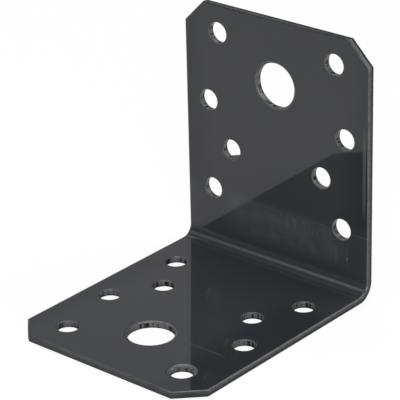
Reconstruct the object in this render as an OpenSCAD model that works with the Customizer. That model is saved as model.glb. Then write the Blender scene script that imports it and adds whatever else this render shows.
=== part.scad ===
// Angle bracket folded from one strip of sheet steel, with the same holes punched in both legs.
// Origin: the heel, where the planes of the two outer faces meet, at mid width.
// The base leg runs along +X, the upright leg along +Z, and the width lies along Y.

/* [Sheet] */
// Width of the strip, the same on both legs
width = 50; // [47:0.5:80]
// Thickness of the sheet
thickness = 1.5; // [1:0.1:3]
// Heel to the free end of the base leg
base_len = 60; // [58:0.5:120]
// Heel to the free end of the upright leg
upright_len = 58.5; // [57:0.5:120]
// Radius on the inside of the fold
bend_r = 2.5; // [1:0.25:6]
// Cut across each free corner, measured along its two edges
corner_cut = 5.3; // [2:0.1:7]

/* [Drawn edges] */
// How far in from the outline the shears pull the inner face down
edge_reach = 0.5; // [0.35:0.05:1]
// How deep the shears pull the inner face down at the outline
edge_draw = 0.2; // [0.1:0.05:0.35]
// Width of the rim that the punch pulls down round a nail hole
nail_reach = 0.3; // [0.3:0.05:0.8]
// Depth of the rim of a nail hole
nail_draw = 0.25; // [0.1:0.05:0.3]
// Width of the rim that the punch pulls down round a bolt hole
bolt_reach = 0.65; // [0.45:0.05:1.2]
// Depth of the rim of a bolt hole
bolt_draw = 0.3; // [0.1:0.05:0.45]
// Width of the rim of the one nail hole that was pulled down deeper
deep_reach = 0.95; // [0.7:0.05:1.5]
// Depth of that deeper rim
deep_draw = 0.5; // [0.4:0.05:0.7]

/* [Bolt hole] */
// Diameter of the bolt hole in each leg, inside the coating
bolt_d = 10.1; // [6:0.1:12]
// Heel to the centre of the bolt hole
bolt_row = 43.5; // [42:0.1:45]

/* [Nail holes] */
// Diameter of every nail hole, inside the coating
nail_d = 4.7; // [3:0.1:6]
// Heel to the pair of holes beside the free end
end_row = 52; // [51:0.1:52.5]
// Spacing of the pair beside the free end
end_gap = 31.6; // [24:0.1:33]
// Heel to the widest pair
wide_row = 35.7; // [33:0.1:38]
// Spacing of the widest pair
wide_gap = 37.4; // [34:0.1:39]
// Heel to the closest pair
close_row = 25.3; // [23:0.1:27]
// Spacing of the closest pair
close_gap = 24.8; // [12:0.1:30]
// Heel to the pair beside the fold
fold_row = 14.7; // [12:0.1:17]
// Spacing of the pair beside the fold
fold_gap = 35.8; // [20:0.1:39]

/* [Hidden] */
$fn = 96;
// Dark coating of the steel
coat = [0.2, 0.205, 0.22];
// Outer radius of the fold, which is also where the flat of each leg begins
bend_out = bend_r + thickness;
// Reach of a cutting tool past the faces that it cuts
over = 1;
// Distance from the heel and spacing of each pair of nail holes, the same on both legs
nail_rows = [
    [end_row, end_gap],
    [wide_row, wide_gap],
    [close_row, close_gap],
    [fold_row, fold_gap]
];

// Flat outline of a leg, from the fold to the free end with its two corners cut across
function leg_outline(len) = [
    [bend_out, -width / 2],
    [len - corner_cut, -width / 2],
    [len, corner_cut - width / 2],
    [len, width / 2 - corner_cut],
    [len - corner_cut, width / 2],
    [bend_out, width / 2]
];

// What a drawn edge takes away from a square one, in section.
// An arc leaves the face level at the reach and meets the cut at the depth of the draw.
// The square corner is at the origin, and the sheet lies on its +X and -Y sides.
module draw_waste(reach, draw) {
    arc_r = (reach * reach + draw * draw) / (2 * draw);
    difference() {
        translate([-over, -draw]) square([reach + over, draw + over]);
        translate([reach, -arc_r]) circle(arc_r);
    }
}

// Drawn edge from point a to point b of a leg's outline, with the sheet on its left
module drawn_side(a, b) {
    way = b - a;
    translate([a.x, a.y, thickness])
        rotate([90, 0, atan2(way.y, way.x) + 90])
            translate([0, 0, -over])
                linear_extrude(norm(way) + 2 * over) draw_waste(edge_reach, edge_draw);
}

// One punched hole, with the rim on the inner side of the sheet drawn in
module punched_hole(d, reach, draw) {
    translate([0, 0, -over]) cylinder(d = d, h = thickness + 2 * over);
    rotate_extrude() translate([d / 2, thickness]) draw_waste(reach, draw);
}

// One nail hole, with the usual rim or the deeper one
module nail_hole(deep) {
    if (deep) punched_hole(nail_d, deep_reach, deep_draw);
    else punched_hole(nail_d, nail_reach, nail_draw);
}

// One leg, lying with its outer face on the XY plane and its inner face up.
// The hole beside the free end on the +Y side can have the deeper rim.
module leg(len, deep_end) {
    outline = leg_outline(len);
    difference() {
        linear_extrude(thickness) polygon(outline);
        for (i = [0 : len(outline) - 2]) drawn_side(outline[i], outline[i + 1]);
        translate([bolt_row, 0, 0]) punched_hole(bolt_d, bolt_reach, bolt_draw);
        for (row = nail_rows, side = [-1, 1])
            translate([row[0], side * row[1] / 2, 0])
                nail_hole(deep_end && side > 0 && row[0] == end_row);
    }
}

// Section across the width of the strip, at its radius from the axis of the fold.
// Here the inner face looks towards -X, so the waste of the drawn edge is turned over.
module fold_section() {
    difference() {
        translate([bend_r, -width / 2]) square([thickness, width]);
        for (side = [0, 1])
            mirror([0, side]) translate([bend_r, width / 2])
                mirror([1, 1]) draw_waste(edge_reach, edge_draw);
    }
}

// Quarter turn that joins the two legs
module fold() {
    translate([bend_out, 0, bend_out])
        rotate([90, 0, 0])
            rotate([0, 0, 180])
                rotate_extrude(angle = 90) fold_section();
}

// The whole bracket: swapping X and Z stands the second leg up on the first
module bracket() {
    color(coat) {
        leg(base_len, true);
        mirror([1, 0, -1]) leg(upright_len, false);
        fold();
    }
}

bracket();
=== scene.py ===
# %% [markdown]
# # A black coated angle bracket
# One strip of sheet steel, 1.5 mm thick, is punched with eighteen holes, folded once at a right
# angle and coated gloss black. The imported solid gives its exact form. This lesson models the same
# sheet again with the marks that punch, shear and fold leave on it, and then gives it its gloss,
# its scuffs, its worn rims with painted highlights, and painted shade and light in a few places.

# %% Load the bracket
import math
import bmesh
import bpy
from mathutils import Matrix, Vector


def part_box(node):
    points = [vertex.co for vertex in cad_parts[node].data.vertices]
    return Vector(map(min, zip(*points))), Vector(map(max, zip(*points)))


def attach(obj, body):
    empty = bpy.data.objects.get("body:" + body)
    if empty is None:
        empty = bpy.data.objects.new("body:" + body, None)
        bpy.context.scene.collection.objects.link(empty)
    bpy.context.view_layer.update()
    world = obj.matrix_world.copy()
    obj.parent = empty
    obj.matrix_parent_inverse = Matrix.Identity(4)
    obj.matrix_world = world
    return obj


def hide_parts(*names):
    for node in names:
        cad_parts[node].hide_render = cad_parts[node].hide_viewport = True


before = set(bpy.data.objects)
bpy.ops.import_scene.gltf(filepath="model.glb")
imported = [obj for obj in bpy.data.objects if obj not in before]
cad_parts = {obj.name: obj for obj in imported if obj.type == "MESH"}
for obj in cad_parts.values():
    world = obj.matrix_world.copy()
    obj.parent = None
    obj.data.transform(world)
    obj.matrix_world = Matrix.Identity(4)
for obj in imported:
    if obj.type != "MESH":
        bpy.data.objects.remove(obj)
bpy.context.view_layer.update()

print("the solid has", len(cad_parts["bracket"].data.polygons), "triangles")

# %% [markdown]
# ## Sizes
# Blender works in metres, and a maker of sheet parts thinks in millimetres, so one name stands for
# a millimetre. The reach of each leg and the width of the strip are read from the solid. The rest
# are the sizes of the tools: the inside radius of the fold, the shear cuts on the corners and the
# two punches. A pair of nail holes is written as its distance from the heel and its spacing.

# %% Sizes of the sheet
MM = 0.001
low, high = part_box("bracket")
base_len = high.x
upright_len = high.z
half_width = high.y
thickness = 1.5 * MM
fold_radius = 2.5 * MM
flat_start = fold_radius + thickness
corner_cut = 5.3 * MM
print("base", base_len / MM, "upright", upright_len / MM, "width", 2 * half_width / MM, "mm")

# %% Sizes of the holes
bolt_radius = 5.05 * MM
bolt_row = 43.5 * MM
nail_radius = 2.35 * MM
end_pair = (52.0 * MM, 31.6 * MM)
wide_pair = (35.7 * MM, 37.4 * MM)
close_pair = (25.3 * MM, 24.8 * MM)
fold_pair = (14.7 * MM, 35.8 * MM)
nail_pairs = (end_pair, wide_pair, close_pair, fold_pair)
print(len(nail_pairs) * 2 + 1, "holes in each leg")

# %% [markdown]
# ## What a cut through sheet looks like
# A punch or a shear first pulls the surface down in a wide shallow rim, then cuts a smooth land,
# and then the rest of the thickness tears. The tear starts with a small step and leans back from
# the cut. These few tenths of a millimetre catch the light all round the outline and in every hole,
# so they are modelled as real shape. A rim is written as how far it reaches in from the cut and how
# deep it is drawn there.

# %% Sizes of a cut
edge_rim = (0.5 * MM, 0.2 * MM)
nail_rim = (0.3 * MM, 0.25 * MM)
bolt_rim = (0.65 * MM, 0.3 * MM)
deep_rim = (0.95 * MM, 0.5 * MM)
tear_height = 0.7 * MM
tear_step = 0.03 * MM
tear_lean = 0.09 * MM
rim_segments = 8


def rim_steps(rim):
    """Pairs of way back from the cut and depth below the face, from the cut to the level face."""
    reach, draw = rim
    arc_radius = (reach**2 + draw**2) / (2 * draw)
    full_turn = math.asin(reach / arc_radius)
    steps = []
    for k in range(rim_segments + 1):
        turn = full_turn * (1 - k / rim_segments)
        back = reach - arc_radius * math.sin(turn)
        below = arc_radius * (1 - math.cos(turn))
        steps.append((back, below))
    return steps


print("a rim has", len(rim_steps(nail_rim)), "steps")
print("the land ends", tear_height / MM, "mm above the outer face")

# %% [markdown]
# ## The camera
# The bracket is seen from above its open side, from a bit less than half a metre away with a long
# lens, so that its edges stay nearly parallel. The place and the turn of the camera come from
# matching the outline and the holes, and the small shift sets the frame round the bracket.

# %% The camera
camera_place = Vector((352.18, 281.25, 223.60)) * MM
camera_turn = (65.356, 1.266, 130.225)
focal_length = 203.63
sensor_width = 36.0
frame_shift = (-0.0032, -0.0047)
nearest_seen = 0.01

camera_data = bpy.data.cameras.new("camera")
camera_data.sensor_width = sensor_width
camera_data.lens = focal_length
camera_data.shift_x, camera_data.shift_y = frame_shift
camera_data.clip_start = nearest_seen
camera = bpy.data.objects.new("camera", camera_data)
camera.location = camera_place
camera.rotation_euler = [math.radians(angle) for angle in camera_turn]
scene = bpy.context.scene
scene.collection.objects.link(camera)
scene.camera = camera
middle = (low + high) / 2
print("camera stands", round((camera_place - middle).length / MM), "mm from the bracket")

# %% [markdown]
# ## Working in edit mode from a script
# By hand, places are clicked. In a script they are chosen by a test on each vertex, edge or face.
# One helper leaves nothing selected before a primitive is added, one does the choosing, and one
# puts an object's place and turn into its mesh. Two places count as the same within a thousandth
# of a millimetre, and the bisect tool works ten times finer.

# %% Helpers for edit mode
near = 0.001 * MM
bisect_reach = near / 10


def deselect_all():
    """Leave no object selected, so that an operator acts only on what is added next."""
    bpy.ops.object.select_all(action="DESELECT")


def choose(piece, kind, test):
    """In edit mode, select the vertices, edges or faces of a piece that pass a test."""
    bpy.ops.mesh.select_mode(type=kind)
    bpy.ops.mesh.select_all(action="DESELECT")
    mesh = bmesh.from_edit_mesh(piece.data)
    parts = {"VERT": mesh.verts, "EDGE": mesh.edges, "FACE": mesh.faces}[kind]
    chosen = [part for part in parts if test(part)]
    for part in chosen:
        part.select_set(True)
    mesh.select_flush_mode()
    bmesh.update_edit_mesh(piece.data)
    return len(chosen)


def make_active(piece):
    """Select one object alone, as a click on it does."""
    deselect_all()
    piece.select_set(True)
    bpy.context.view_layer.objects.active = piece


def settle(piece):
    """Put the object's place, turn and size into its mesh."""
    make_active(piece)
    bpy.ops.object.transform_apply(location=True, rotation=True, scale=True)


print("helpers ready")

# %% [markdown]
# ## The plate of one leg
# A leg starts as a plane of its own size. A bevel of the two free corner vertices makes the shear
# cuts, and an extrude gives the thickness.


# %% The plate of a leg
def leg_plate(name, length):
    """A flat leg along +X with its outer face down, square edges and no holes yet."""
    reach = length - flat_start
    deselect_all()
    bpy.ops.mesh.primitive_plane_add(size=1, location=(flat_start + reach / 2, 0, 0))
    plate = bpy.context.object
    plate.name = name
    plate.scale = (reach, 2 * half_width, 1)
    settle(plate)
    bpy.ops.object.mode_set(mode="EDIT")
    choose(plate, "VERT", lambda v: v.co.x > length - near)
    bpy.ops.mesh.bevel(offset=corner_cut, segments=1, affect="VERTICES")
    bpy.ops.mesh.select_all(action="SELECT")
    bpy.ops.mesh.extrude_region_move(TRANSFORM_OT_translate={"value": (0, 0, thickness)})
    bpy.ops.mesh.select_all(action="SELECT")
    bpy.ops.mesh.normals_make_consistent(inside=False)
    bpy.ops.object.mode_set(mode="OBJECT")
    return plate


# %% [markdown]
# ## The cut outline
# The bisect tool draws a line round the edge at each height where the cut changes: the steps of the
# rim, the end of the land and the start of the tear. Each line is then drawn in by its own
# distance: the upper ones follow the rim that the shears pull down, and the lower ones lean the
# tear back. All free sides move by the same distance, so a corner slides along by the tangent of
# half its turn. The side at the fold stays, because the sheet goes on there.

# %% The cut outline
outline_steps = [(thickness - below, back) for back, below in rim_steps(edge_rim)]
outline_steps += [(tear_height, 0.0), (tear_height - tear_step, tear_step), (0.0, tear_lean)]
half_corner_turn = math.radians(22.5)


def draw_in(plate, length, height, back):
    """In edit mode, move the outline of a leg in at one height, on its free sides only."""
    slide = back * math.tan(half_corner_turn)
    corner = half_width - corner_cut
    side = half_width - back - near

    def at_height(v):
        return abs(v.co.z - height) < near

    choose(plate, "VERT", lambda v: at_height(v) and v.co.x > length - near)
    bpy.ops.transform.translate(value=(-back, 0, 0))
    bpy.ops.transform.resize(value=(1, 1 - slide / corner, 1), center_override=(0, 0, 0))
    choose(plate, "VERT", lambda v: at_height(v) and abs(v.co.y) > half_width - near)
    bpy.ops.transform.resize(value=(1, 1 - back / half_width, 1), center_override=(0, 0, 0))
    choose(
        plate, "VERT", lambda v: at_height(v) and abs(v.co.y) > side and v.co.x > flat_start + near
    )
    bpy.ops.transform.translate(value=(-slide, 0, 0))


def cut_outline(plate, length):
    """Give the edge of a leg its rim, land and tear."""
    make_active(plate)
    bpy.ops.object.mode_set(mode="EDIT")
    for height, back in outline_steps:
        if 0 < height < thickness:
            bpy.ops.mesh.select_all(action="SELECT")
            bpy.ops.mesh.bisect(
                plane_co=(0, 0, height), plane_no=(0, 0, 1), threshold=bisect_reach
            )
    for height, back in outline_steps:
        if back > 0:
            draw_in(plate, length, height, back)
    bpy.ops.object.mode_set(mode="OBJECT")
    print(plate.name, "has", len(plate.data.polygons), "faces after the shears")


# %% [markdown]
# ## The punch
# A hole has the shape of its tool, so the tool is modelled: a circle is extruded step by step and
# resized at each step, wide at the bottom where the sheet tears, straight along the land, and
# flared at the top where the surface is drawn in. Cutting with it gives each hole a true rim and
# wall.

# %% The punch
over = 1.0 * MM
punch_sides = 72


def punch_outline(radius, rim):
    """Height and radius of each step of the tool, from below the sheet to above it."""
    steps = [(-over, radius + tear_lean), (0.0, radius + tear_lean)]
    steps += [(tear_height - tear_step, radius + tear_step), (tear_height, radius)]
    steps += [(thickness - below, radius + back) for back, below in rim_steps(rim)]
    steps.append((thickness + over, radius + rim[0] + over))
    return steps


def punch(radius, rim, x, y):
    """One punching tool that stands through the sheet at its place."""
    steps = punch_outline(radius, rim)
    deselect_all()
    bpy.ops.mesh.primitive_circle_add(
        vertices=punch_sides, radius=steps[0][1], fill_type="NGON", location=(x, y, steps[0][0])
    )
    tool = bpy.context.object
    bpy.ops.object.mode_set(mode="EDIT")
    for (z0, r0), (z1, r1) in zip(steps, steps[1:]):
        bpy.ops.mesh.extrude_region_move(TRANSFORM_OT_translate={"value": (0, 0, z1 - z0)})
        bpy.ops.transform.resize(value=(r1 / r0, r1 / r0, 1), center_override=(x, y, z1))
    bpy.ops.mesh.select_all(action="SELECT")
    bpy.ops.mesh.normals_make_consistent(inside=False)
    bpy.ops.object.mode_set(mode="OBJECT")
    settle(tool)
    return tool


print("a punch has", len(punch_outline(nail_radius, nail_rim)), "steps")

# %% [markdown]
# ## Fields for the holes
# A face with many holes in it is hard for Blender to divide into triangles. A few straight lines,
# drawn with the bisect tool between the holes, give each nail hole a field of its own, and the
# faces stay flat.

# %% Draw the fields
field_lines_across = (20.0 * MM, 30.5 * MM, 44.0 * MM)
field_lines_along = (-8.0 * MM, 8.0 * MM)


def draw_fields(plate):
    """Divide a leg by straight lines between its holes."""
    make_active(plate)
    bpy.ops.object.mode_set(mode="EDIT")
    for x in field_lines_across:
        bpy.ops.mesh.select_all(action="SELECT")
        bpy.ops.mesh.bisect(plane_co=(x, 0, 0), plane_no=(1, 0, 0))
    for y in field_lines_along:
        bpy.ops.mesh.select_all(action="SELECT")
        bpy.ops.mesh.bisect(plane_co=(0, y, 0), plane_no=(0, 1, 0))
    bpy.ops.object.mode_set(mode="OBJECT")
    print(plate.name, "has", len(plate.data.polygons), "faces before the punch")


# %% Punch the holes
def punch_holes(plate, end_rim):
    """Cut the bolt hole and the nail holes; one hole of the end pair has a rim of its own."""
    tools = [punch(bolt_radius, bolt_rim, bolt_row, 0)]
    for pair in nail_pairs:
        row, gap = pair
        for side in (-1, 1):
            rim = end_rim if pair == end_pair and side > 0 else nail_rim
            tools.append(punch(nail_radius, rim, row, side * gap / 2))
    deselect_all()
    for tool in tools:
        tool.select_set(True)
    bpy.context.view_layer.objects.active = tools[0]
    bpy.ops.object.join()
    tool_set = bpy.context.object
    make_active(plate)
    cut = plate.modifiers.new("punch", "BOOLEAN")
    cut.operation = "DIFFERENCE"
    cut.solver = "EXACT"
    cut.object = tool_set
    bpy.ops.object.modifier_apply(modifier=cut.name)
    bpy.data.objects.remove(tool_set)
    print(plate.name, "punched,", len(plate.data.polygons), "faces")


# %% Both legs, lying flat
base_leg = leg_plate("base_leg", base_len)
cut_outline(base_leg, base_len)
draw_fields(base_leg)
punch_holes(base_leg, deep_rim)
upright_leg = leg_plate("upright_leg", upright_len)
cut_outline(upright_leg, upright_len)
draw_fields(upright_leg)
punch_holes(upright_leg, nail_rim)

# %% [markdown]
# ## The fold
# The upright leg is turned half round about the line halfway between the two legs, which stands it
# up with its outer face behind. Between them the end section of the base leg is spun through a
# quarter turn about the axis of the fold, which bends the sheet as the press does. The legs and the
# fold then share their end lines and become one skin.

# %% Turn the upright leg
upright_leg.matrix_world = Matrix.Rotation(math.pi, 4, Vector((1, 0, 1)))
settle(upright_leg)
print("upright leg reaches", round(max(v.co.z for v in upright_leg.data.vertices) / MM, 3), "mm")

# %% Open the two end sections
fold_axis = Vector((flat_start, 0, flat_start))
fold_segments = 20


def open_end(leg, at_end):
    """Take the end face of a leg away and leave its outline."""
    make_active(leg)
    bpy.ops.object.mode_set(mode="EDIT")
    choose(leg, "FACE", lambda face: all(at_end(v) for v in face.verts))
    bpy.ops.mesh.dissolve_faces()
    choose(leg, "FACE", lambda face: all(at_end(v) for v in face.verts))
    bpy.ops.mesh.delete(type="ONLY_FACE")
    bpy.ops.object.mode_set(mode="OBJECT")


def at_base_end(v):
    """Whether a vertex lies where the base leg meets the fold."""
    return abs(v.co.x - flat_start) < near


def at_upright_end(v):
    """Whether a vertex lies where the upright leg meets the fold."""
    return abs(v.co.z - flat_start) < near


open_end(base_leg, at_base_end)
open_end(upright_leg, at_upright_end)

# %% Spin the fold
make_active(base_leg)
bpy.ops.object.mode_set(mode="EDIT")
section = choose(base_leg, "EDGE", lambda edge: all(at_base_end(v) for v in edge.verts))
bpy.ops.mesh.spin(steps=fold_segments, angle=-math.pi / 2, center=fold_axis, axis=(0, 1, 0))
bpy.ops.object.mode_set(mode="OBJECT")
print("the section of the fold has", section, "edges")

# %% Join the skin
deselect_all()
upright_leg.select_set(True)
base_leg.select_set(True)
bpy.context.view_layer.objects.active = base_leg
bpy.ops.object.join()
sheet = bpy.context.object
sheet.name = "folded_sheet"
sheet.data.name = "folded_sheet"
bpy.ops.object.mode_set(mode="EDIT")
bpy.ops.mesh.select_all(action="SELECT")
bpy.ops.mesh.remove_doubles(threshold=2 * near)
bpy.ops.mesh.normals_make_consistent(inside=False)
bpy.ops.object.mode_set(mode="OBJECT")

skin = bmesh.new()
skin.from_mesh(sheet.data)
open_edges = sum(1 for edge in skin.edges if not edge.is_manifold)
print("open edges", open_edges, "volume", round(skin.calc_volume() / MM**3, 1), "mm3")
skin.free()

# %% [markdown]
# ## Depth in the sheet
# Rim, land and tear lie at different depths in the sheet, so each vertex gets its height above the
# outer face. It is measured from the outer face of the base or of the upright, and in the fold from
# its axis. A second mark tells the holes from the outline, because the coating wears and gathers
# differently there, and the walls of the holes carry painted light.

# %% Measure the depth
past_rim = 2 * edge_rim[0]
past_corner_rim = 3 * edge_rim[0]


def depth_at(place):
    """Height above the outer face of the sheet, in millimetres."""
    if place.x < flat_start and place.z < flat_start:
        from_axis = math.hypot(place.x - fold_axis.x, place.z - fold_axis.z)
        return (flat_start - from_axis) / MM
    return min(place.x, place.z) / MM


def in_hole(place):
    """1 where a place lies further inside the outline than its rim reaches, and else 0."""
    along = max(place.x, place.z)
    length = base_len if place.x > place.z else upright_len
    inside_side = abs(place.y) < half_width - past_rim
    inside_end = along < length - past_rim
    inside_corner = abs(place.y) + along < half_width + length - corner_cut - past_corner_rim
    return float(inside_side and inside_end and inside_corner)


depth = sheet.data.attributes.new("depth", "FLOAT", "POINT")
hole = sheet.data.attributes.new("hole", "FLOAT", "POINT")
for vertex in sheet.data.vertices:
    depth.data[vertex.index].value = depth_at(vertex.co)
    hole.data[vertex.index].value = in_hole(vertex.co)
depths = [mark.value for mark in depth.data]
print("depth from", round(min(depths), 3), "to", round(max(depths), 3), "mm")

# %% [markdown]
# ## The flat blank as a map
# Streaks in a cut run straight through the thickness. They follow the sheet and not the room, so
# the sheet is unrolled: the map holds the way along the strip and the place across it, as on the
# flat blank.


# %% Unroll the sheet
def along_strip(place):
    """Way along the strip from the middle of the fold, up the upright and back along the base."""
    if place.x < flat_start and place.z < flat_start:
        angle = math.atan2(fold_axis.x - place.x, fold_axis.z - place.z)
        return (angle - math.pi / 4) * fold_radius / MM
    half_arc = math.pi / 4 * fold_radius
    if place.z > place.x:
        return (place.z - flat_start + half_arc) / MM
    return -(place.x - flat_start + half_arc) / MM


blank = sheet.data.uv_layers.new(name="blank")
for corner in sheet.data.loops:
    place = sheet.data.vertices[corner.vertex_index].co
    blank.data[corner.index].uv = (along_strip(place), place.y / MM)
ways = [corner.uv.x for corner in blank.data]
print("blank runs from", round(min(ways), 1), "to", round(max(ways), 1), "mm")

# %% [markdown]
# ## Smooth and flat
# The rolled edges have to look round and the faces flat. Smooth shading by angle rounds the small
# steps, and weighted normals keep the large faces truly flat, so that they mirror like a plate and
# not like a cushion.

# %% Shade the sheet
smooth_angle = math.radians(32)
most_by_area = 100
make_active(sheet)
bpy.ops.object.shade_smooth_by_angle(angle=smooth_angle)
weighted = sheet.modifiers.new("flat_faces", "WEIGHTED_NORMAL")
weighted.keep_sharp = True
weighted.weight = most_by_area
bpy.ops.object.modifier_apply(modifier=weighted.name)
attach(sheet, "root")
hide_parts("bracket")
print("sheet has", len(sheet.data.polygons), "faces")

# %% [markdown]
# ## A run of coating
# In one hole of the upright the wet coating gathered and set as a small flat run at the bottom. It
# is the part of a disc below a slanting line, a trace larger than the hole so that it sits in the
# wall. A circle is cut across with bisect and extruded.

# %% Sizes of the run
run_row, run_gap = close_pair
run_behind = 0.35 * MM
run_place = Vector((run_behind, -run_gap / 2, run_row))
run_bite = 0.04 * MM
run_radius = nail_radius + run_bite
run_sides = 96
run_slant = math.radians(17)
run_top = 1.45 * MM
run_depth = 0.6 * MM
run_rounding = 0.22 * MM
run_steps = 5
down = Vector((0, math.sin(run_slant), -math.cos(run_slant)))
print("the run is", round((run_radius - run_top) / MM, 2), "mm high")

# %% The run of coating
deselect_all()
bpy.ops.mesh.primitive_circle_add(
    vertices=run_sides,
    radius=run_radius,
    fill_type="NGON",
    location=run_place,
    rotation=(0, math.pi / 2, 0),
)
coating_run = bpy.context.object
coating_run.name = "coating_run"
settle(coating_run)
bpy.ops.object.mode_set(mode="EDIT")
bpy.ops.mesh.select_all(action="SELECT")
bpy.ops.mesh.bisect(
    plane_co=run_place + down * run_top,
    plane_no=down,
    clear_inner=True,
    threshold=bisect_reach,
)
bpy.ops.mesh.select_all(action="SELECT")
bpy.ops.mesh.extrude_region_move(TRANSFORM_OT_translate={"value": (run_depth, 0, 0)})
bpy.ops.mesh.select_all(action="SELECT")
bpy.ops.mesh.normals_make_consistent(inside=False)
bpy.ops.object.mode_set(mode="OBJECT")
print("run of coating cut out,", len(coating_run.data.polygons), "faces")

# %% [markdown]
# ## Round the top of the run
# A bevel rounds the upper edges, as wet coating does. The run lies in a hole and takes the finish
# of a cut, so it carries the same two marks as the sheet, with one value all over.


# %% Round the top of the run
def on_top(v):
    """Whether a vertex lies on the slanting top of the run."""
    return abs((v.co - run_place).dot(down) - run_top) < near


run_smooth_angle = math.radians(40)
bpy.ops.object.mode_set(mode="EDIT")
top_edges = choose(coating_run, "EDGE", lambda edge: all(on_top(v) for v in edge.verts))
bpy.ops.mesh.bevel(offset=run_rounding, segments=run_steps, affect="EDGES")
bpy.ops.object.mode_set(mode="OBJECT")
bpy.ops.object.shade_smooth_by_angle(angle=run_smooth_angle)
for mark in ("depth", "hole"):
    layer = coating_run.data.attributes.new(mark, "FLOAT", "POINT")
    layer.data.foreach_set("value", [1.0] * len(coating_run.data.vertices))
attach(coating_run, "root")
print(top_edges, "edges rounded,", len(coating_run.data.polygons), "faces")

# %% [markdown]
# ## Building with nodes
# Rooms and finishes are trees of small nodes, and a few helpers keep the cells short. One adds a
# node, and one gives an input a fixed value or joins another node's output to it. The others work
# with masks, which run from 0, where an effect is absent, to 1, where it is full.


# %% Helpers for nodes
def add_node(tree, kind, **settings):
    """Add a node of a kind and set its options."""
    made = tree.nodes.new(kind)
    for option, choice in settings.items():
        setattr(made, option, choice)
    return made


def feed(tree, source, socket):
    """Give an input a fixed value, or join another node's output to it."""
    if isinstance(source, bpy.types.NodeSocket):
        tree.links.new(source, socket)
    else:
        socket.default_value = source


def feed_in_order(tree, sources, made):
    """Feed the inputs of a node in their order and return the node."""
    for source, socket in zip(sources, made.inputs):
        feed(tree, source, socket)
    return made


def calculate(tree, operation, *sources):
    """Add a Math node that works on one, two or three values."""
    made = add_node(tree, "ShaderNodeMath", operation=operation)
    return feed_in_order(tree, sources, made).outputs[0]


print("node helpers ready")


# %% Helpers for masks
def ramp_up(tree, value, start, stop):
    """A mask that rises softly from 0 at one value to 1 at another."""
    made = add_node(tree, "ShaderNodeMapRange", interpolation_type="SMOOTHSTEP")
    feed(tree, value, made.inputs["Value"])
    feed(tree, start, made.inputs["From Min"])
    feed(tree, stop, made.inputs["From Max"])
    return made.outputs["Result"]


def times(tree, *masks):
    """Multiply masks, so that an effect stays only where all of them are."""
    result = masks[0]
    for mask in masks[1:]:
        result = calculate(tree, "MULTIPLY", result, mask)
    return result


def largest(tree, *masks):
    """The strongest of several masks at each place."""
    result = masks[0]
    for mask in masks[1:]:
        result = calculate(tree, "MAXIMUM", result, mask)
    return result


def from_to(tree, mask, first, second):
    """A number that goes from the first value to the second as a mask goes from 0 to 1."""
    return calculate(tree, "MULTIPLY_ADD", mask, second - first, first)


def blend(tree, mask, first, second):
    """A colour that goes from the first one to the second as a mask goes from 0 to 1."""
    made = add_node(tree, "ShaderNodeMix", data_type="RGBA")
    feed(tree, mask, made.inputs["Factor"])
    feed(tree, first, made.inputs[6])
    feed(tree, second, made.inputs[7])
    return made.outputs[2]


print("mask helpers ready")

# %% [markdown]
# ## The studio
# A gloss coating shows the room as much as it shows itself, so the light is chosen by what each
# face mirrors. The room is a dim grey. A pale wall stands behind on the left, and the base mirrors
# it; the wall ends just where the upright hides its edge, so nothing shines through the mirrored
# holes. A bright panel hangs above the wall, where only the drawn rims mirror it. A soft glow on
# the left draws the line along the fold, and a second one on the right, a little behind, lights the
# cut corner of the upright. A place in the room is a bearing from +X and a height above the floor,
# both in degrees.

# %% Lights of the room
room_grey = (0.07, 0.07, 0.072, 1.0)
wall_grey = (0.46, 0.46, 0.475, 1.0)
panel_white = (1.6, 1.6, 1.62, 1.0)
glow_white = (2.0, 2.0, 2.02, 1.0)
far_glow_white = (3.2, 3.2, 3.22, 1.0)
wall_near_edge = 220.1
wall_far_edge = 262.0
panel_near_edge = 190.0
panel_low_edge = 37.0
glow_place = (303.0, 43.0)
far_glow_place = (149.0, 37.0)
print("pale wall from", wall_near_edge, "to", wall_far_edge, "degrees")
print("panel above", panel_low_edge, "degrees")

# %% [markdown]
# ## Edges on a ball
# In the world shader a direction is a point on a unit ball, so an edge is a plane through its
# centre. How far a direction leans towards an arrow tells on which side of that plane it lies, and
# each edge fades between two such values.

# %% Edges of the room
near_edge_fade = (-0.002, 0.002)
far_edge_fade = (-0.05, 0.15)
top_fade = (0.75, 0.6)
panel_side_fade = (-0.02, 0.02)
panel_rise = math.sin(math.radians(panel_low_edge))
panel_low_fade = (panel_rise - 0.02, panel_rise + 0.06)
glow_fade = (0.95, 0.998)
far_glow_fade = (0.95, 0.985)

room = bpy.data.worlds.new("room")
room.use_nodes = True
tree = room.node_tree
direction = add_node(tree, "ShaderNodeTexCoord").outputs["Generated"]


def bearing(angle, height=0.0):
    """A unit arrow at a compass angle from +X and a height above the floor, in degrees."""
    turn = math.radians(angle)
    lift = math.radians(height)
    return (math.cos(lift) * math.cos(turn), math.cos(lift) * math.sin(turn), math.sin(lift))


def side_of(arrow):
    """How far a direction leans towards an arrow: 1 along it and 0 across it."""
    made = add_node(tree, "ShaderNodeVectorMath", operation="DOT_PRODUCT")
    return feed_in_order(tree, (direction, arrow), made).outputs["Value"]


print("a glow stands at", glow_place, "and one at", far_glow_place)

# %% The room
scene.view_settings.view_transform = "Standard"
upwards = side_of((0, 0, 1))
left_of_edge = ramp_up(tree, side_of(bearing(wall_near_edge + 90)), *near_edge_fade)
right_of_end = ramp_up(tree, side_of(bearing(wall_far_edge - 90)), *far_edge_fade)
left_of_panel = ramp_up(tree, side_of(bearing(panel_near_edge + 90)), *panel_side_fade)
wall = times(tree, left_of_edge, right_of_end, ramp_up(tree, upwards, *top_fade))
panel = times(tree, left_of_panel, right_of_end, ramp_up(tree, upwards, *panel_low_fade))
glow = ramp_up(tree, side_of(bearing(*glow_place)), *glow_fade)
far_glow = ramp_up(tree, side_of(bearing(*far_glow_place)), *far_glow_fade)

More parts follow.
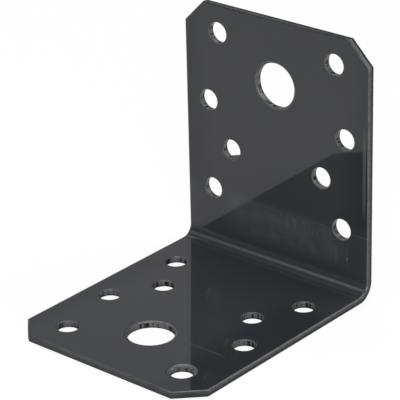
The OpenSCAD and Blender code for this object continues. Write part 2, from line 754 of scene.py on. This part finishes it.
colour = blend(tree, wall, room_grey, wall_grey)
colour = blend(tree, panel, colour, panel_white)
colour = blend(tree, glow, colour, glow_white)
colour = blend(tree, far_glow, colour, far_glow_white)
feed(tree, colour, tree.nodes["Background"].inputs["Color"])
scene.world = room
print("room of", len(tree.nodes), "nodes")

# %% [markdown]
# ## The lamps
# Two wide soft lamps light the bracket: one overhead, and one over the camera, whose light reaches
# into the corner of the fold. Neither is mirrored by a flat face. Their power is set so that the
# dark colour of the coating gets the tone that it has in the picture.


# %% Soft lamps
def soft_lamp(name, place, size, power):
    """Add a square soft lamp that points at the middle of the bracket."""
    data = bpy.data.lights.new(name, "AREA")
    data.shape = "SQUARE"
    data.size = size
    data.energy = power
    lamp = bpy.data.objects.new(name, data)
    lamp.location = place
    lamp.rotation_euler = (middle - Vector(place)).to_track_quat("-Z", "Y").to_euler()
    scene.collection.objects.link(lamp)
    print(name, "of", size, "m,", power, "W")


soft_lamp("overhead_lamp", place=(-0.05, 0.0, 1.0), size=0.9, power=6.9)
soft_lamp("front_lamp", place=(0.85, 0.68, 0.42), size=0.8, power=10.6)

# %% [markdown]
# ## The floor
# The picture has a white ground. The floor is white paper, and where the camera or a gloss face
# looks at it, part of its shade is a plain white, so that only a soft trace of shadow is left under
# the bracket. Right below the base the paper lies in the dark, and what a gloss face mirrors there
# is a painted shadow: the paper glows a plain dark grey instead of white. The floor lies a trace
# below the base, so that the two never share one plane.

# %% The floor
floor_reach = 6.0
floor_gap = 0.02 * MM
deselect_all()
bpy.ops.mesh.primitive_plane_add(size=floor_reach, location=(0, 0, -floor_gap))
floor = bpy.context.object
floor.name = "floor"
print("floor of", floor_reach, "m")


# %% White paper
def new_finish(name):
    """A new material, its tree of nodes and its main shader."""
    finish = bpy.data.materials.new(name)
    finish.use_nodes = True
    return finish, finish.node_tree, finish.node_tree.nodes["Principled BSDF"]


def split(tree, vector):
    """The numbers of a vector along X, Y and Z."""
    made = add_node(tree, "ShaderNodeSeparateXYZ")
    return feed_in_order(tree, (vector,), made).outputs


paper_white = (0.82, 0.82, 0.82, 1.0)
paper_roughness = 0.9
white_paper, tree, paper = new_finish("white_paper")
paper.inputs["Base Color"].default_value = paper_white
paper.inputs["Roughness"].default_value = paper_roughness
paper.inputs["Specular IOR Level"].default_value = 0.0
floor.data.materials.append(white_paper)
print("paper of", paper_white[:3])

# %% Where the painted shadow lies below the base
half_base = base_len / 2
dark_edge = 1.0 * MM
floor_axes = split(tree, add_node(tree, "ShaderNodeTexCoord").outputs["Object"])
along = calculate(tree, "SUBTRACT", floor_axes["X"], half_base)
below_base = times(
    tree,
    ramp_up(tree, calculate(tree, "ABSOLUTE", along), half_base, half_base - dark_edge),
    ramp_up(
        tree, calculate(tree, "ABSOLUTE", floor_axes["Y"]), half_width, half_width - dark_edge
    ),
)
print("dark from heel to", base_len / MM, "mm")

# %% What each ray sees of the floor
white_for_camera = 0.9
white_for_mirrors = 0.41
# Painted shadow: what a gloss face mirrors right below the base glows only this much.
painted_shadow_level = 0.06
looking = add_node(tree, "ShaderNodeLightPath").outputs
by_camera = times(tree, looking["Is Camera Ray"], white_for_camera)
mirrored = largest(tree, looking["Is Glossy Ray"], looking["Is Transmission Ray"])
by_mirror = times(tree, mirrored, white_for_mirrors)
in_painted_shadow = times(tree, mirrored, below_base)
# The emission gives the plain white, and right below the base the painted shadow.
plain_white_and_painted_shadow = add_node(tree, "ShaderNodeEmission")
feed(tree, from_to(tree, in_painted_shadow, 1.0, painted_shadow_level), plain_white_and_painted_shadow.inputs["Strength"])
mixed = add_node(tree, "ShaderNodeMixShader")
share = largest(tree, by_camera, by_mirror, in_painted_shadow)
feed_in_order(tree, (share, paper.outputs["BSDF"], plain_white_and_painted_shadow.outputs["Emission"]), mixed)
feed(tree, mixed.outputs["Shader"], tree.nodes["Material Output"].inputs["Surface"])
print("the camera sees", white_for_camera, "plain white, a gloss face", white_for_mirrors)

# %% [markdown]
# ## Effects that both finishes share
# The flat faces and the cut edges carry the same coating, but they take light differently. Effects
# that both need are node groups, built once: a soft band along a line, and fine grain.


# %% Helpers for groups
def new_group(name, **inputs):
    """A node group with the named inputs, each a Float or a Vector, that gives one mask."""
    group = bpy.data.node_groups.new(name, "ShaderNodeTree")
    for title, kind in inputs.items():
        group.interface.new_socket(title, in_out="INPUT", socket_type="NodeSocket" + kind)
    group.interface.new_socket("Mask", in_out="OUTPUT", socket_type="NodeSocketFloat")
    entry = add_node(group, "NodeGroupInput").outputs
    leave = add_node(group, "NodeGroupOutput").inputs
    return group, entry, leave


def use_group(tree, group, *sources):
    """Add a node group, feed its inputs in order and give its mask."""
    made = add_node(tree, "ShaderNodeGroup", node_tree=group)
    return feed_in_order(tree, sources, made).outputs["Mask"]


print("group helpers ready")

# %% The band group
band, entry, leave = new_group(
    "soft_band", Value="Float", Centre="Float", Reach="Float", Softness="Float"
)
away = calculate(band, "ABSOLUTE", calculate(band, "SUBTRACT", entry["Value"], entry["Centre"]))
outer = calculate(band, "ADD", entry["Reach"], entry["Softness"])
feed(band, ramp_up(band, away, outer, entry["Reach"]), leave["Mask"])


def soft_band(tree, value, centre, half_width, softness):
    """A mask that is 1 within half a width of a line and fades out over the softness."""
    return use_group(tree, band, value, centre, half_width, softness)


print("band group with", len(band.nodes), "nodes")

# %% The grain group
grain_detail = 3.0
grain, entry, leave = new_group(
    "stretched_grain", Vector="Vector", Stretch="Vector", Low="Float", High="Float"
)
scaled = add_node(grain, "ShaderNodeVectorMath", operation="MULTIPLY")
feed_in_order(grain, (entry["Vector"], entry["Stretch"]), scaled)
noise = add_node(grain, "ShaderNodeTexNoise")
feed(grain, scaled.outputs["Vector"], noise.inputs["Vector"])
feed(grain, 1.0, noise.inputs["Scale"])
feed(grain, grain_detail, noise.inputs["Detail"])
spread = ramp_up(grain, noise.outputs["Fac"], entry["Low"], entry["High"])
feed(grain, spread, leave["Mask"])


def grain_mask(tree, vector, stretch, low_cut, high_cut):
    """A mask of noise; stretch is how many times it changes per millimetre in each direction."""
    return use_group(tree, grain, vector, stretch, low_cut, high_cut)


print("grain group with", len(grain.nodes), "nodes")


# %% Helpers for finishes
def place_in_mm(tree):
    """The place on the bracket in millimetres."""
    scaled = add_node(tree, "ShaderNodeVectorMath", operation="SCALE")
    feed(tree, add_node(tree, "ShaderNodeTexCoord").outputs["Object"], scaled.inputs[0])
    feed(tree, 1.0 / MM, scaled.inputs["Scale"])
    return scaled.outputs["Vector"]


def mark_on_mesh(tree, name):
    """A mark that the mesh carries at each vertex."""
    return add_node(tree, "ShaderNodeAttribute", attribute_name=name).outputs["Fac"]


def lean_surface(tree, shader, height):
    """Lean the surface by a height in metres."""
    bump = add_node(tree, "ShaderNodeBump")
    feed(tree, 1.0, bump.inputs["Strength"])
    feed(tree, 1.0, bump.inputs["Distance"])
    feed(tree, height, bump.inputs["Height"])
    feed(tree, bump.outputs["Normal"], shader.inputs["Normal"])


print("finish helpers ready")

# %% [markdown]
# ## The black coating on the faces
# The coating is a smooth gloss black over steel, so its own colour is nearly black and most of what
# shows is a weak mirror of the room. It is not perfect: the press left a fine line on each leg and
# rubbed the surface, the rolled rims are a little worn and carry painted highlights, and no leg is
# as flat as glass. In places the black is also painted a trace deeper as shade.

# %% Start the face finish
coat_ior = 1.38
leg_border = (-0.5, 0.5)
inner_half = (0.7, 0.9)
coated_face, tree, shader = new_finish("coated_face")
shader.inputs["IOR"].default_value = coat_ior
place_mm = place_in_mm(tree)
x_mm, y_mm, z_mm = split(tree, place_mm)
along_leg = calculate(tree, "MAXIMUM", x_mm, z_mm)
on_upright = ramp_up(tree, calculate(tree, "SUBTRACT", z_mm, x_mm), *leg_border)
on_base = calculate(tree, "SUBTRACT", 1.0, on_upright)
face_depth = mark_on_mesh(tree, "depth")
on_inner = ramp_up(tree, face_depth, *inner_half)
print("coating of IOR", coat_ior)

# %% [markdown]
# ## Marks of the press
# The line that the tool left stands 14.3 mm above the heel on the upright. Below it the coating is
# hazy, with short scratches up and down the leg right under the line, and nearer to the right edge
# two short streaks with a nick. A faint rub runs along that edge, and a shorter line crosses the
# base. Each mark is a place along its leg, a place across it, and some grain or a strength,
# multiplied. A place is its centre, half its width and how far it fades, in millimetres. The marks
# lie on the inner side of the sheet only, and the outer one stays clean.

# %% Places of the marks
line_up, line_across = (14.3, 0.06, 0.12), (9.0, 15.0, 4.0)
haze_up, haze_across = (10.4, 2.2, 3.8), (2.5, 12.0, 7.5)
scratches_up, scratches_across = (12.3, 0.9, 1.8), (6.5, 6.5, 3.0)
rub_up, rub_across = (29.0, 6.0, 6.0), (23.85, 0.25, 0.25)
streaks_up = (8.8, 1.6, 1.4)
left_streak_across, right_streak_across = (16.5, 0.05, 0.25), (19.4, 0.05, 0.25)
nick_up, nick_across = (8.1, 0.2, 0.2), (19.4, 0.15, 0.2)
base_line_along, base_line_across = (42.0, 0.06, 0.14), (13.5, 4.0, 2.0)
print("press line at", line_up[0], "mm")

# %% [markdown]
# ## Grain and strength of the marks
# A grain is written as its stretch and as the two levels of the noise between which its mask rises.
# A small stretch in one direction draws the grain out into lines that way. Haze and wear never fall
# below half their strength.

# %% Grain of the marks
line_grain = ((0.4, 0.4, 0.4), 0.3, 0.5)
haze_grain = ((0.0, 0.22, 0.3), 0.35, 0.65)
scratch_grain = ((0.0, 1.4, 0.2), 0.42, 0.62)
rim_grain = ((0.9, 0.9, 0.9), 0.3, 0.7)
cloud_grain = ((0.08, 0.08, 0.08), 0.3, 0.7)
thinnest = 0.5

broken = grain_mask(tree, place_mm, *line_grain)
hazy = from_to(tree, grain_mask(tree, place_mm, *haze_grain), thinnest, 1.0)
scratched = grain_mask(tree, place_mm, *scratch_grain)
patchy = from_to(tree, grain_mask(tree, place_mm, *rim_grain), thinnest, 1.0)
cloud = grain_mask(tree, place_mm, *cloud_grain)
print("the scratches change", scratch_grain[0][1], "times per mm across the leg")

# %% Strength of the marks
line_strength = 0.5
haze_strength = 0.5
scratch_strength = 0.65
rub_strength = 0.6
streak_strength = 0.6
nick_strength = 1.0
print("the nick is the strongest mark, at", nick_strength)


# %% Press marks
def on_leg(leg, way, along, across, *grain_and_strength):
    """One mark on a leg, at its place along the leg and across it."""
    place_along = soft_band(tree, way, *along)
    place_across = soft_band(tree, y_mm, *across)
    return times(tree, leg, place_along, place_across, *grain_and_strength)


press_marks = largest(
    tree,
    on_leg(on_upright, z_mm, line_up, line_across, broken, line_strength),
    on_leg(on_upright, z_mm, haze_up, haze_across, hazy, haze_strength),
    on_leg(on_upright, z_mm, scratches_up, scratches_across, scratched, scratch_strength),
    on_leg(on_upright, z_mm, rub_up, rub_across, rub_strength),
    on_leg(on_upright, z_mm, streaks_up, left_streak_across, streak_strength),
    on_leg(on_upright, z_mm, streaks_up, right_streak_across, streak_strength),
    on_leg(on_upright, z_mm, nick_up, nick_across, nick_strength),
    on_leg(on_base, x_mm, base_line_along, base_line_across, broken, line_strength),
)
scuff = times(tree, press_marks, on_inner)
print("press marks laid on the inner side")

# %% [markdown]
# ## Worn rims with painted highlights
# A rim begins right below the level of the inner face. It is worn a little everywhere and more
# round the holes, along the right edge and on the upright's right corner, which show paler. The
# paler grey is partly real wear and partly a painted highlight of the rolled rims.

# %% Worn rims and painted highlights
rim_starts, rim_is_full = 1.499, 1.45
right_edge = (24.2, 24.6)
right_corner = (77.1, 77.4)
hole_wear = 0.8
least_wear, most_wear = 0.2, 0.9

rim_fade = times(tree, on_inner, ramp_up(tree, face_depth, rim_starts, rim_is_full))
at_right_edge = ramp_up(tree, y_mm, *right_edge)
at_right_corner = ramp_up(tree, calculate(tree, "ADD", y_mm, z_mm), *right_corner)
at_hole = times(tree, mark_on_mesh(tree, "hole"), hole_wear)
most_worn_and_highlit = largest(tree, at_hole, at_right_edge, at_right_corner)
where_worn_and_highlit = from_to(tree, most_worn_and_highlit, least_wear, most_wear)
# This mask sets where wear and a painted highlight make the rims paler.
rim_wear_and_highlight = times(tree, rim_fade, where_worn_and_highlit, patchy)
print("rims wear from the depth of", rim_starts, "mm down")

# %% [markdown]
# ## Colour of the faces
# The black is a trace deeper towards the free ends and the side edges, and on the side of the base
# towards the camera. This deeper black is painted shade. Scuffs and worn rims lie over it as greys,
# the rims partly as painted highlights.

# %% Colour of the faces
coat_black = (0.033, 0.034, 0.039, 1.0)
# A deeper black, painted in as shade where the coat is blended towards it.
painted_shade_black = (0.021, 0.022, 0.026, 1.0)
scuff_grey = (0.075, 0.077, 0.085, 1.0)
# The paler rim grey is partly real wear and partly a painted highlight of the rolled rims.
worn_rim_and_highlight_grey = (0.11, 0.113, 0.12, 1.0)
free_end_fade, free_end_share = (20.0, 55.0), 0.45
edge_fade, edge_share = (15.0, 24.0), 0.8
fold_fade = (12.0, 19.0)
near_side_fade = (7.0, 19.0)

off_middle = calculate(tree, "ABSOLUTE", y_mm)
shade_to_free_end = times(tree, ramp_up(tree, along_leg, *free_end_fade), free_end_share)
shade_to_edges = times(tree, ramp_up(tree, off_middle, *edge_fade), edge_share)
past_fold = ramp_up(tree, along_leg, *fold_fade)
shade_to_near_side = times(tree, on_base, ramp_up(tree, y_mm, *near_side_fade))
shade_to_sides = times(tree, past_fold, largest(tree, shade_to_edges, shade_to_near_side))
# Painted shade: towards the free ends, the side edges and the near side of the base the coat is
# blended towards the deeper black.
colour = blend(tree, largest(tree, shade_to_free_end, shade_to_sides), coat_black, painted_shade_black)
colour = blend(tree, scuff, colour, scuff_grey)
colour = blend(tree, rim_wear_and_highlight, colour, worn_rim_and_highlight_grey)
feed(tree, colour, shader.inputs["Base Color"])
print("coating from", coat_black[:3], "to", painted_shade_black[:3])

# %% [markdown]
# ## Gloss of the faces
# Scuffs and worn rims are a little dull, and the stretched coating in the fold is duller still.
# There it also mirrors less towards the left, so the line of light along the fold fades that way.

# %% Gloss of the faces
gloss_roughness = 0.03
cloud_dullness = 0.015
fold_dullness = 0.12
scuff_dullness = 0.25
rim_dullness = 0.2
even_glint = 0.5
fold_glint = 0.58
left_glint = 0.32
leave_fold = (5.5, 3.5)
right_to_left = (22.0, -18.0)

in_fold = ramp_up(tree, along_leg, *leave_fold)
left_in_fold = times(tree, in_fold, ramp_up(tree, y_mm, *right_to_left))
dull = largest(tree, times(tree, scuff, scuff_dullness), times(tree, rim_wear_and_highlight, rim_dullness))
roughness = calculate(tree, "MULTIPLY_ADD", cloud, cloud_dullness, gloss_roughness)
roughness = calculate(tree, "MULTIPLY_ADD", in_fold, fold_dullness, roughness)
feed(tree, calculate(tree, "ADD", dull, roughness), shader.inputs["Roughness"])
glint = from_to(tree, in_fold, even_glint, fold_glint)
glint = calculate(tree, "MULTIPLY_ADD", left_in_fold, left_glint - fold_glint, glint)
feed(tree, glint, shader.inputs["Specular IOR Level"])
print("roughness from", gloss_roughness)

# %% [markdown]
# ## Not quite flat
# A gloss face shows every hundredth of a degree. The legs lean towards each other by a trace, which
# shifts what they mirror, and the coating has a faint orange peel. A Bump node turns a height in
# metres into a lean of the surface, so a height that grows evenly along a leg leans the whole leg.

# %% Lean and orange peel
upright_lean = math.tan(math.radians(0.6))
base_lean = math.tan(math.radians(1.3))
peel_height = 0.0006
peel_scale = 0.35
scuff_height = 0.002

upright_height = times(tree, z_mm, on_upright, upright_lean * MM)
base_height = times(tree, x_mm, on_base, base_lean * MM)
peel = add_node(tree, "ShaderNodeTexNoise")
feed(tree, place_mm, peel.inputs["Vector"])
feed(tree, peel_scale, peel.inputs["Scale"])
height = calculate(tree, "ADD", upright_height, base_height)
height = calculate(tree, "MULTIPLY_ADD", peel.outputs["Fac"], peel_height * MM, height)
height = calculate(tree, "MULTIPLY_ADD", scuff, scuff_height * MM, height)
lean_surface(tree, shader, height)
print("peel of", peel_height, "mm")

# %% [markdown]
# ## The coating on the cut edges
# In a cut the coating lies on the smooth land and on the torn part below it. Streaks run straight
# through the land, the step above the tear holds a dark line, and the tear is dull. The streaks use
# the map of the flat blank, so they keep their direction round every hole. The end of the base has
# weaker streaks and a weaker step, and the tear low down has pale specks.

# %% Start the cut finish
cut_ior = 1.28
front_fade = (54.0, 55.0)
low_fade = (4.0, 2.0)
tear_fade = (0.75, 0.66)
step_place = (0.69, 0.03, 0.05)
streak_grain = ((1.6, 1.6, 0.0), 0.42, 0.66)
speck_grain = ((2.5, 2.5, 2.5), 0.52, 0.7)

coated_cut, tree, shader = new_finish("coated_cut")
shader.inputs["IOR"].default_value = cut_ior
blank_mm = add_node(tree, "ShaderNodeUVMap", uv_map="blank").outputs["UV"]
cut_depth = mark_on_mesh(tree, "depth")
place_mm = place_in_mm(tree)
cut_axes = split(tree, place_mm)
at_front = ramp_up(tree, cut_axes["X"], *front_fade)
low_down = ramp_up(tree, cut_axes["Z"], *low_fade)
in_tear = ramp_up(tree, cut_depth, *tear_fade)
at_step = soft_band(tree, cut_depth, *step_place)
streaks = grain_mask(tree, blank_mm, *streak_grain)
specks = grain_mask(tree, place_mm, *speck_grain)
print("cut of IOR", cut_ior)

# %% Colour of the outline
land_black = (0.036, 0.037, 0.041, 1.0)
land_pale = (0.070, 0.072, 0.077, 1.0)
tear_grey = (0.014, 0.015, 0.017, 1.0)
step_black = (0.004, 0.004, 0.005, 1.0)
streaks_at_front = 0.2
step_at_front = 0.4
pale_at_specks = 0.6
pale_at_front = 0.7

pale = largest(tree, times(tree, specks, pale_at_specks), times(tree, at_front, pale_at_front))
dark_tear = from_to(tree, times(tree, low_down, pale), 1.0, 0.0)
land_streaks = times(tree, streaks, from_to(tree, at_front, 1.0, streaks_at_front))
dark_step = times(tree, at_step, from_to(tree, at_front, 1.0, step_at_front))
outline_colour = blend(tree, land_streaks, land_black, land_pale)
outline_colour = blend(tree, times(tree, in_tear, dark_tear), outline_colour, tear_grey)
outline_colour = blend(tree, dark_step, outline_colour, step_black)
print("land, tear and step coloured")

# %% [markdown]
# ## The walls of the holes
# The walls of the holes are painted a paler grey as painted light, for the light that falls into
# the holes and that the walls mirror, with dark runs through the wall and a dark line of gathered
# coating at the bottom.

# %% Colour of the holes
# The pale grey of the hole walls is painted light, for the light that falls into the holes and that
# their walls mirror.
painted_light_hole_grey = (0.112, 0.114, 0.12, 1.0)
hole_black = (0.006, 0.006, 0.007, 1.0)
run_darkness = 0.9
run_grain = ((1.3, 1.3, 0.0), 0.48, 0.58)
bottom_fade = (0.28, 0.12)

dark_runs = grain_mask(tree, blank_mm, *run_grain)
at_bottom = ramp_up(tree, cut_depth, *bottom_fade)
dark_wall = largest(tree, at_bottom, times(tree, dark_runs, run_darkness))
hole_colour = blend(tree, dark_wall, painted_light_hole_grey, hole_black)
cut_colour = blend(tree, mark_on_mesh(tree, "hole"), outline_colour, hole_colour)
feed(tree, cut_colour, shader.inputs["Base Color"])
print("hole walls coloured")

# %% Roughness and grain of the cut
land_roughness = 0.14
tear_dullness = 0.35
speck_dullness = 0.1
streak_height = 0.012
speck_height = 0.03

roughness = calculate(tree, "MULTIPLY_ADD", in_tear, tear_dullness, land_roughness)
roughness = calculate(tree, "MULTIPLY_ADD", specks, speck_dullness, roughness)
feed(tree, roughness, shader.inputs["Roughness"])
height = times(tree, specks, in_tear, speck_height * MM)
height = calculate(tree, "MULTIPLY_ADD", streaks, streak_height * MM, height)
lean_surface(tree, shader, height)
print("cut roughness from", land_roughness)

# %% [markdown]
# ## Dress the sheet
# A face of the mesh belongs to a cut when it stands across the sheet and lies below the rolled rim.
# All other faces, the rims among them, belong to the coated surface. The run of coating in the hole
# takes the finish of a cut.

# %% Give each face its finish
across_limit = 0.2


def stands_across(face):
    """Whether a face of the mesh is part of a land or a tear."""
    centre = face.center
    if centre.x < flat_start and centre.z < flat_start:
        through = Vector((fold_axis.x - centre.x, 0, fold_axis.z - centre.z)).normalized()
    else:
        through = Vector((1, 0, 0)) if centre.z > centre.x else Vector((0, 0, 1))
    return abs(face.normal.dot(through)) < across_limit


sheet.data.materials.clear()
sheet.data.materials.append(coated_face)
sheet.data.materials.append(coated_cut)
for face in sheet.data.polygons:
    face.material_index = 1 if stands_across(face) else 0
coating_run.data.materials.append(coated_cut)
cut_faces = sum(face.material_index for face in sheet.data.polygons)
print("cut faces", cut_faces, "of", len(sheet.data.polygons))
